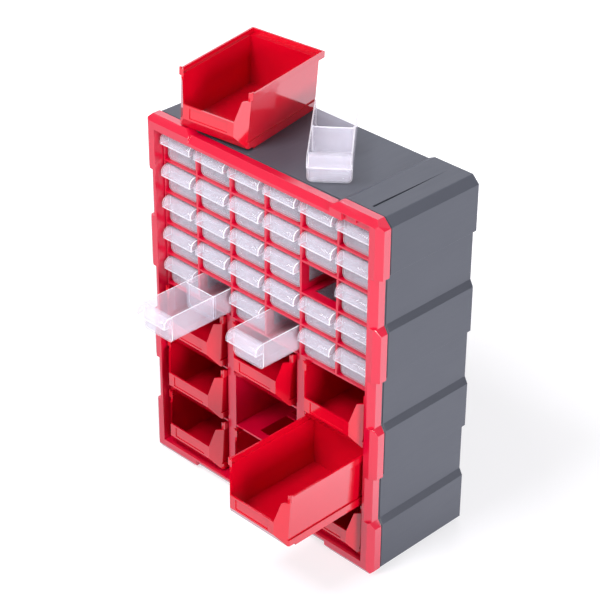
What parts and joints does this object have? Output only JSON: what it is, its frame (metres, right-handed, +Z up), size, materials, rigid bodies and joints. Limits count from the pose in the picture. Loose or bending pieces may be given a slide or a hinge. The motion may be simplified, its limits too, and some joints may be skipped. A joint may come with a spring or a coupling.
{
  "type": "parts bin cabinet",
  "caption": "Wall or bench cabinet in grey and red plastic, with rows of small clear pull-out drawers above rows of larger open-fronted red bins.",
  "frame": {"origin": "middle of the cabinet's flat underside, on the surface that it stands on", "axes": "+Z up, -Y towards the front where the drawers and bins come out, +X to the right seen from the front"},
  "size_m": [0.38, 0.2913, 0.5481],
  "materials": {
    "housing_grey": "satin moulded grey housing",
    "frame_red": "glossy moulded red front frame",
    "lattice_red": "glossy moulded red shelves, dividers and posts",
    "bin_red": "glossy moulded red bins",
    "clear_drawer": "clear, slightly milky moulded drawers"
  },
  "bodies": {
    "cabinet": {"housing": "housing_grey", "front_frame": "frame_red", "inner_case": "lattice_red", "mid_shelf": "lattice_red", "small_shelf_1": "lattice_red", "small_shelf_2": "lattice_red", "small_shelf_3": "lattice_red", "small_shelf_4": "lattice_red", "bin_shelf_1": "lattice_red", "bin_shelf_2": "lattice_red", "divider_1": "lattice_red", "divider_2": "lattice_red", "divider_3": "lattice_red", "divider_4": "lattice_red", "divider_5": "lattice_red", "bin_post_1": "lattice_red", "bin_post_2": "lattice_red"},
    "drawer_r1c1": {"drawer_r1c1": "clear_drawer"},
    "drawer_r1c2": {"drawer_r1c2": "clear_drawer"},
    "drawer_r1c3": {"drawer_r1c3": "clear_drawer"},
    "drawer_r1c4": {"drawer_r1c4": "clear_drawer"},
    "drawer_r1c5": {"drawer_r1c5": "clear_drawer"},
    "drawer_r1c6": {"drawer_r1c6": "clear_drawer"},
    "drawer_r2c1": {"drawer_r2c1": "clear_drawer"},
    "drawer_r2c2": {"drawer_r2c2": "clear_drawer"},
    "drawer_r2c3": {"drawer_r2c3": "clear_drawer"},
    "drawer_r2c4": {"drawer_r2c4": "clear_drawer"},
    "drawer_r2c5": {"drawer_r2c5": "clear_drawer"},
    "drawer_r2c6": {"drawer_r2c6": "clear_drawer"},
    "drawer_r3c1": {"drawer_r3c1": "clear_drawer"},
    "drawer_r3c2": {"drawer_r3c2": "clear_drawer"},
    "drawer_r3c3": {"drawer_r3c3": "clear_drawer"},
    "drawer_r3c4": {"drawer_r3c4": "clear_drawer"},
    "drawer_r3c5": {"drawer_r3c5": "clear_drawer", "insert_r3c5": "clear_drawer"},
    "drawer_r3c6": {"drawer_r3c6": "clear_drawer"},
    "drawer_r4c1": {"drawer_r4c1": "clear_drawer"},
    "drawer_r4c2": {"drawer_r4c2": "clear_drawer"},
    "drawer_r4c3": {"drawer_r4c3": "clear_drawer"},
    "drawer_r4c4": {"drawer_r4c4": "clear_drawer"},
    "drawer_r4c5": {"drawer_r4c5": "clear_drawer"},
    "drawer_r4c6": {"drawer_r4c6": "clear_drawer"},
    "drawer_r5c1": {"drawer_r5c1": "clear_drawer"},
    "drawer_r5c2": {"drawer_r5c2": "clear_drawer", "insert_r5c2": "clear_drawer"},
    "drawer_r5c3": {"drawer_r5c3": "clear_drawer"},
    "drawer_r5c4": {"drawer_r5c4": "clear_drawer"},
    "drawer_r5c5": {"drawer_r5c5": "clear_drawer"},
    "drawer_r5c6": {"drawer_r5c6": "clear_drawer"},
    "bin_r1c1": {"bin_r1c1": "bin_red"},
    "bin_r1c2": {"bin_r1c2": "bin_red"},
    "bin_r1c3": {"bin_r1c3": "bin_red"},
    "bin_r2c1": {"bin_r2c1": "bin_red"},
    "bin_r2c2": {"bin_r2c2": "bin_red"},
    "bin_r2c3": {"bin_r2c3": "bin_red"},
    "bin_r3c1": {"bin_r3c1": "bin_red"},
    "bin_r3c2": {"bin_r3c2": "bin_red"},
    "bin_r3c3": {"bin_r3c3": "bin_red"}
  },
  "joints": [
    {"name": "drawer_r1c1_slide", "type": "slide", "parent": "cabinet", "child": "drawer_r1c1", "axis": [0, -1, 0], "range_m": [0, 0.12]},
    {"name": "drawer_r1c2_slide", "type": "slide", "parent": "cabinet", "child": "drawer_r1c2", "axis": [0, -1, 0], "range_m": [0, 0.12]},
    {"name": "drawer_r1c3_slide", "type": "slide", "parent": "cabinet", "child": "drawer_r1c3", "axis": [0, -1, 0], "range_m": [0, 0.12]},
    {"name": "drawer_r1c4_slide", "type": "slide", "parent": "cabinet", "child": "drawer_r1c4", "axis": [0, -1, 0], "range_m": [0, 0.12]},
    {"name": "drawer_r1c5_slide", "type": "slide", "parent": "cabinet", "child": "drawer_r1c5", "axis": [0, -1, 0], "range_m": [0, 0.12]},
    {"name": "drawer_r1c6_slide", "type": "slide", "parent": "cabinet", "child": "drawer_r1c6", "axis": [0, -1, 0], "range_m": [0, 0.12]},
    {"name": "drawer_r2c1_slide", "type": "slide", "parent": "cabinet", "child": "drawer_r2c1", "axis": [0, -1, 0], "range_m": [0, 0.12]},
    {"name": "drawer_r2c2_slide", "type": "slide", "parent": "cabinet", "child": "drawer_r2c2", "axis": [0, -1, 0], "range_m": [0, 0.12]},
    {"name": "drawer_r2c3_slide", "type": "slide", "parent": "cabinet", "child": "drawer_r2c3", "axis": [0, -1, 0], "range_m": [0, 0.12]},
    {"name": "drawer_r2c4_slide", "type": "slide", "parent": "cabinet", "child": "drawer_r2c4", "axis": [0, -1, 0], "range_m": [0, 0.12]},
    {"name": "drawer_r2c5_slide", "type": "slide", "parent": "cabinet", "child": "drawer_r2c5", "axis": [0, -1, 0], "range_m": [0, 0.12]},
    {"name": "drawer_r2c6_slide", "type": "slide", "parent": "cabinet", "child": "drawer_r2c6", "axis": [0, -1, 0], "range_m": [0, 0.12]},
    {"name": "drawer_r3c1_slide", "type": "slide", "parent": "cabinet", "child": "drawer_r3c1", "axis": [0, -1, 0], "range_m": [0, 0.12]},
    {"name": "drawer_r3c2_slide", "type": "slide", "parent": "cabinet", "child": "drawer_r3c2", "axis": [0, -1, 0], "range_m": [0, 0.12]},
    {"name": "drawer_r3c3_slide", "type": "slide", "parent": "cabinet", "child": "drawer_r3c3", "axis": [0, -1, 0], "range_m": [0, 0.12]},
    {"name": "drawer_r3c4_slide", "type": "slide", "parent": "cabinet", "child": "drawer_r3c4", "axis": [0, -1, 0], "range_m": [0, 0.12]},
    {"name": "drawer_r3c5_lift", "type": "slide", "parent": "cabinet", "child": "drawer_r3c5", "axis": [0, 0, 1], "range_m": [0, 0.25]},
    {"name": "drawer_r3c6_slide", "type": "slide", "parent": "cabinet", "child": "drawer_r3c6", "axis": [0, -1, 0], "range_m": [0, 0.12]},
    {"name": "drawer_r4c1_slide", "type": "slide", "parent": "cabinet", "child": "drawer_r4c1", "axis": [0, -1, 0], "range_m": [0, 0.12]},
    {"name": "drawer_r4c2_slide", "type": "slide", "parent": "cabinet", "child": "drawer_r4c2", "axis": [0, -1, 0], "range_m": [0, 0.12]},
    {"name": "drawer_r4c3_slide", "type": "slide", "parent": "cabinet", "child": "drawer_r4c3", "axis": [0, -1, 0], "range_m": [0, 0.12]},
    {"name": "drawer_r4c4_slide", "type": "slide", "parent": "cabinet", "child": "drawer_r4c4", "axis": [0, -1, 0], "range_m": [0, 0.12]},
    {"name": "drawer_r4c5_slide", "type": "slide", "parent": "cabinet", "child": "drawer_r4c5", "axis": [0, -1, 0], "range_m": [0, 0.12]},
    {"name": "drawer_r4c6_slide", "type": "slide", "parent": "cabinet", "child": "drawer_r4c6", "axis": [0, -1, 0], "range_m": [0, 0.12]},
    {"name": "drawer_r5c1_slide", "type": "slide", "parent": "cabinet", "child": "drawer_r5c1", "axis": [0, -1, 0], "range_m": [0, 0.12]},
    {"name": "drawer_r5c2_slide", "type": "slide", "parent": "cabinet", "child": "drawer_r5c2", "axis": [0, -1, 0], "range_m": [-0.095, 0.025]},
    {"name": "drawer_r5c3_slide", "type": "slide", "parent": "cabinet", "child": "drawer_r5c3", "axis": [0, -1, 0], "range_m": [0, 0.12]},
    {"name": "drawer_r5c4_slide", "type": "slide", "parent": "cabinet", "child": "drawer_r5c4", "axis": [0, -1, 0], "range_m": [-0.059, 0.061]},
    {"name": "drawer_r5c5_slide", "type": "slide", "parent": "cabinet", "child": "drawer_r5c5", "axis": [0, -1, 0], "range_m": [0, 0.12]},
    {"name": "drawer_r5c6_slide", "type": "slide", "parent": "cabinet", "child": "drawer_r5c6", "axis": [0, -1, 0], "range_m": [0, 0.12]},
    {"name": "bin_r1c1_slide", "type": "slide", "parent": "cabinet", "child": "bin_r1c1", "axis": [0, -1, 0], "range_m": [0, 0.13]},
    {"name": "bin_r1c2_slide", "type": "slide", "parent": "cabinet", "child": "bin_r1c2", "axis": [0, -1, 0], "range_m": [0, 0.13]},
    {"name": "bin_r1c3_slide", "type": "slide", "parent": "cabinet", "child": "bin_r1c3", "axis": [0, -1, 0], "range_m": [0, 0.13]},
    {"name": "bin_r2c1_slide", "type": "slide", "parent": "cabinet", "child": "bin_r2c1", "axis": [0, -1, 0], "range_m": [0, 0.13]},
    {"name": "bin_r2c2_lift", "type": "slide", "parent": "cabinet", "child": "bin_r2c2", "axis": [0, 0, 1], "range_m": [0, 0.25]},
    {"name": "bin_r2c3_slide", "type": "slide", "parent": "cabinet", "child": "bin_r2c3", "axis": [0, -1, 0], "range_m": [-0.1185, 0.0115]},
    {"name": "bin_r3c1_slide", "type": "slide", "parent": "cabinet", "child": "bin_r3c1", "axis": [0, -1, 0], "range_m": [0, 0.13]},
    {"name": "bin_r3c2_slide", "type": "slide", "parent": "cabinet", "child": "bin_r3c2", "axis": [0, -1, 0], "range_m": [0, 0.13]},
    {"name": "bin_r3c3_slide", "type": "slide", "parent": "cabinet", "child": "bin_r3c3", "axis": [0, -1, 0], "range_m": [0, 0.13]}
  ]
}
